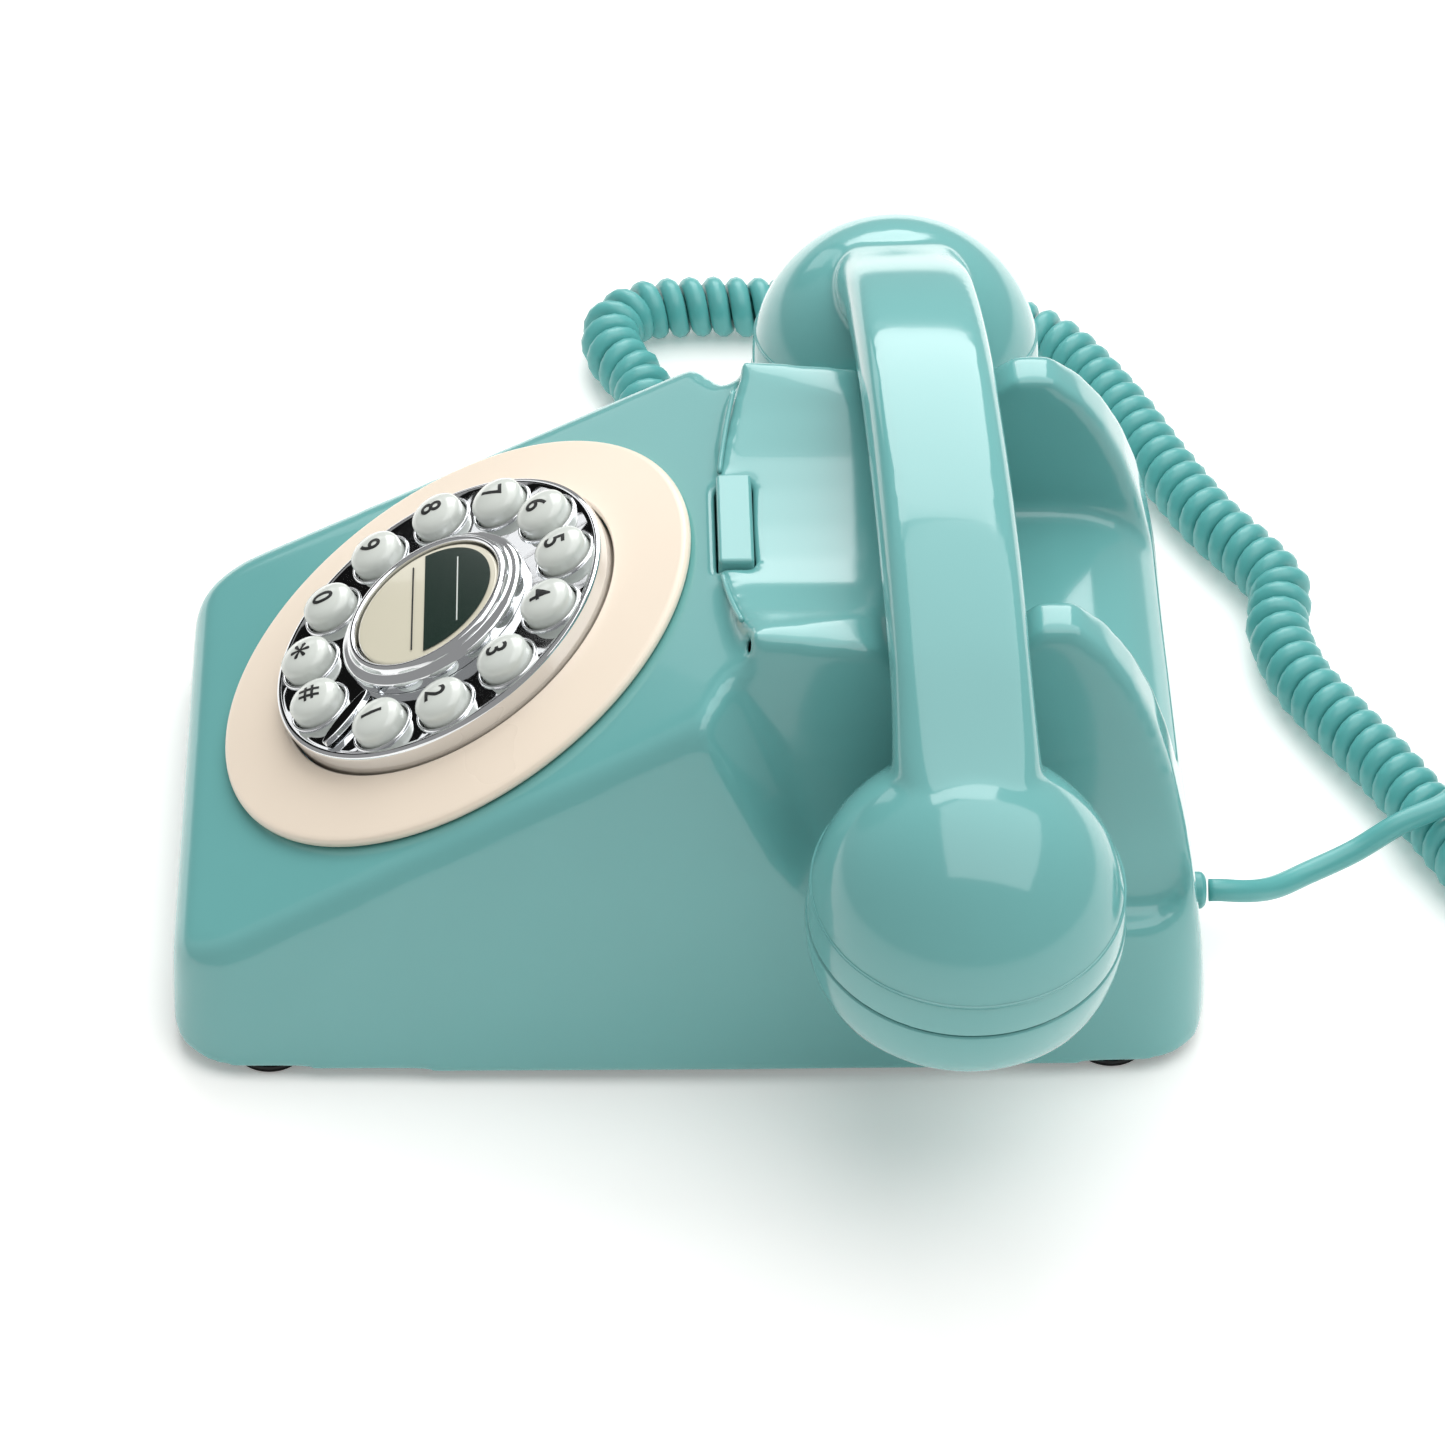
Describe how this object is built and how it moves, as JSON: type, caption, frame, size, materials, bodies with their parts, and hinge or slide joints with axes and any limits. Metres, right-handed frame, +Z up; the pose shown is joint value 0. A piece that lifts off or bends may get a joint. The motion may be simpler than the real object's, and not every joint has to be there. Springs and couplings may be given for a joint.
{
  "type": "rotary telephone",
  "caption": "Desk telephone with a round dial of push keys, a cradle with horns, a handset with round caps and a curly cord.",
  "frame": {"origin": "centre of the footprint without the cord, on the surface that the feet stand on", "axes": "+Z up; -Y is the front, where the dial faces; +X is the user's right; the handset lies along X"},
  "size_m": [0.3145, 0.326, 0.118],
  "materials": {
    "case_teal": "glossy moulded plastic",
    "handset_teal": "glossy moulded plastic",
    "recall_teal": "glossy moulded plastic",
    "cream": "smooth cream plastic",
    "chrome": "plated, polished",
    "key_grey": "pearl grey keys",
    "rubber": "matt",
    "board_green": "lacquered board",
    "inner_grey": "unpainted moulding",
    "steel": "bright zinc",
    "brass": "turned brass",
    "copper": "varnished copper winding",
    "cord_teal": "smooth cord sheath"
  },
  "bodies": {
    "base": {"case_shell": "case_teal", "dial_surround": "cream", "dial_plate": "chrome", "dial_bezel": "chrome", "finger_stop": "chrome", "foot_1": "rubber", "foot_2": "rubber", "foot_3": "rubber", "foot_4": "rubber", "keypad_mat": "rubber", "keypad_board": "board_green", "main_board": "board_green", "keypad_frame": "inner_grey", "base_plate": "inner_grey", "hook_switch": "inner_grey", "line_socket": "inner_grey", "case_screw_1": "steel", "case_screw_2": "steel", "case_screw_3": "steel", "case_screw_4": "steel", "switch_bracket": "steel", "ballast": "steel", "ringer_frame": "steel", "clapper_pin": "steel", "gong_left": "brass", "gong_right": "brass", "ringer_coil": "copper", "cord_boot_case": "cord_teal", "handset_cord_coil": "cord_teal", "handset_cord_tail": "cord_teal"},
    "handset": {"handset_shell": "handset_teal", "handset_underside": "handset_teal", "ear_cap": "handset_teal", "mouth_cap": "handset_teal", "receiver": "steel", "microphone": "rubber", "handset_weight": "steel", "cord_boot_handset": "cord_teal", "handset_cord_lead": "cord_teal"},
    "hook": {"plunger_left": "inner_grey", "plunger_right": "inner_grey", "hook_yoke": "inner_grey"},
    "recall": {"recall_button": "recall_teal"},
    "redial": {"redial_button": "cream"},
    "clapper": {"ringer_clapper": "steel"},
    "ringer_slider": {"ringer_switch": "rubber"},
    "key_1": {"key_1": "key_grey"},
    "key_2": {"key_2": "key_grey"},
    "key_3": {"key_3": "key_grey"},
    "key_4": {"key_4": "key_grey"},
    "key_5": {"key_5": "key_grey"},
    "key_6": {"key_6": "key_grey"},
    "key_7": {"key_7": "key_grey"},
    "key_8": {"key_8": "key_grey"},
    "key_9": {"key_9": "key_grey"},
    "key_0": {"key_0": "key_grey"},
    "key_star": {"key_star": "key_grey"},
    "key_hash": {"key_hash": "key_grey"}
  },
  "joints": [
    {"name": "press_1", "type": "slide", "parent": "base", "child": "key_1", "axis": [0, 0.4958, -0.8685], "range_m": [0, 0.0018], "stiffness_N_per_m": 300},
    {"name": "press_2", "type": "slide", "parent": "base", "child": "key_2", "axis": [0, 0.4958, -0.8685], "range_m": [0, 0.0018], "stiffness_N_per_m": 300},
    {"name": "press_3", "type": "slide", "parent": "base", "child": "key_3", "axis": [0, 0.4958, -0.8685], "range_m": [0, 0.0018], "stiffness_N_per_m": 300},
    {"name": "press_4", "type": "slide", "parent": "base", "child": "key_4", "axis": [0, 0.4958, -0.8685], "range_m": [0, 0.0018], "stiffness_N_per_m": 300},
    {"name": "press_5", "type": "slide", "parent": "base", "child": "key_5", "axis": [0, 0.4958, -0.8685], "range_m": [0, 0.0018], "stiffness_N_per_m": 300},
    {"name": "press_6", "type": "slide", "parent": "base", "child": "key_6", "axis": [0, 0.4958, -0.8685], "range_m": [0, 0.0018], "stiffness_N_per_m": 300},
    {"name": "press_7", "type": "slide", "parent": "base", "child": "key_7", "axis": [0, 0.4958, -0.8685], "range_m": [0, 0.0018], "stiffness_N_per_m": 300},
    {"name": "press_8", "type": "slide", "parent": "base", "child": "key_8", "axis": [0, 0.4958, -0.8685], "range_m": [0, 0.0018], "stiffness_N_per_m": 300},
    {"name": "press_9", "type": "slide", "parent": "base", "child": "key_9", "axis": [0, 0.4958, -0.8685], "range_m": [0, 0.0018], "stiffness_N_per_m": 300},
    {"name": "press_0", "type": "slide", "parent": "base", "child": "key_0", "axis": [0, 0.4958, -0.8685], "range_m": [0, 0.0018], "stiffness_N_per_m": 300},
    {"name": "press_star", "type": "slide", "parent": "base", "child": "key_star", "axis": [0, 0.4958, -0.8685], "range_m": [0, 0.0018], "stiffness_N_per_m": 300},
    {"name": "press_hash", "type": "slide", "parent": "base", "child": "key_hash", "axis": [0, 0.4958, -0.8685], "range_m": [0, 0.0018], "stiffness_N_per_m": 300},
    {"name": "press_redial", "type": "slide", "parent": "base", "child": "redial", "axis": [0, 0.4958, -0.8685], "range_m": [0, 0.0015], "stiffness_N_per_m": 500},
    {"name": "press_recall", "type": "slide", "parent": "base", "child": "recall", "axis": [0, 0, -1], "range_m": [0, 0.0015], "stiffness_N_per_m": 500},
    {"name": "handset_lift", "type": "slide", "parent": "base", "child": "handset", "axis": [0, 0, 1], "range_m": [0, 0.08]},
    {"name": "hook_rise", "type": "slide", "parent": "base", "child": "hook", "axis": [0, 0, 1], "range_m": [0, 0.004]},
    {"name": "clapper_swing", "type": "hinge", "parent": "base", "child": "clapper", "pos_m": [0, 0.042, 0.016], "axis": [0, 0, 1], "range_deg": [-5, 5], "stiffness_Nm_per_rad": 0.004},
    {"name": "ringer_slide", "type": "slide", "parent": "base", "child": "ringer_slider", "axis": [1, 0, 0], "range_m": [0, 0.005]}
  ],
  "couplings": [
    {"joint": "hook_rise", "follows": "handset_lift", "ratio": 0.05}
  ]
}
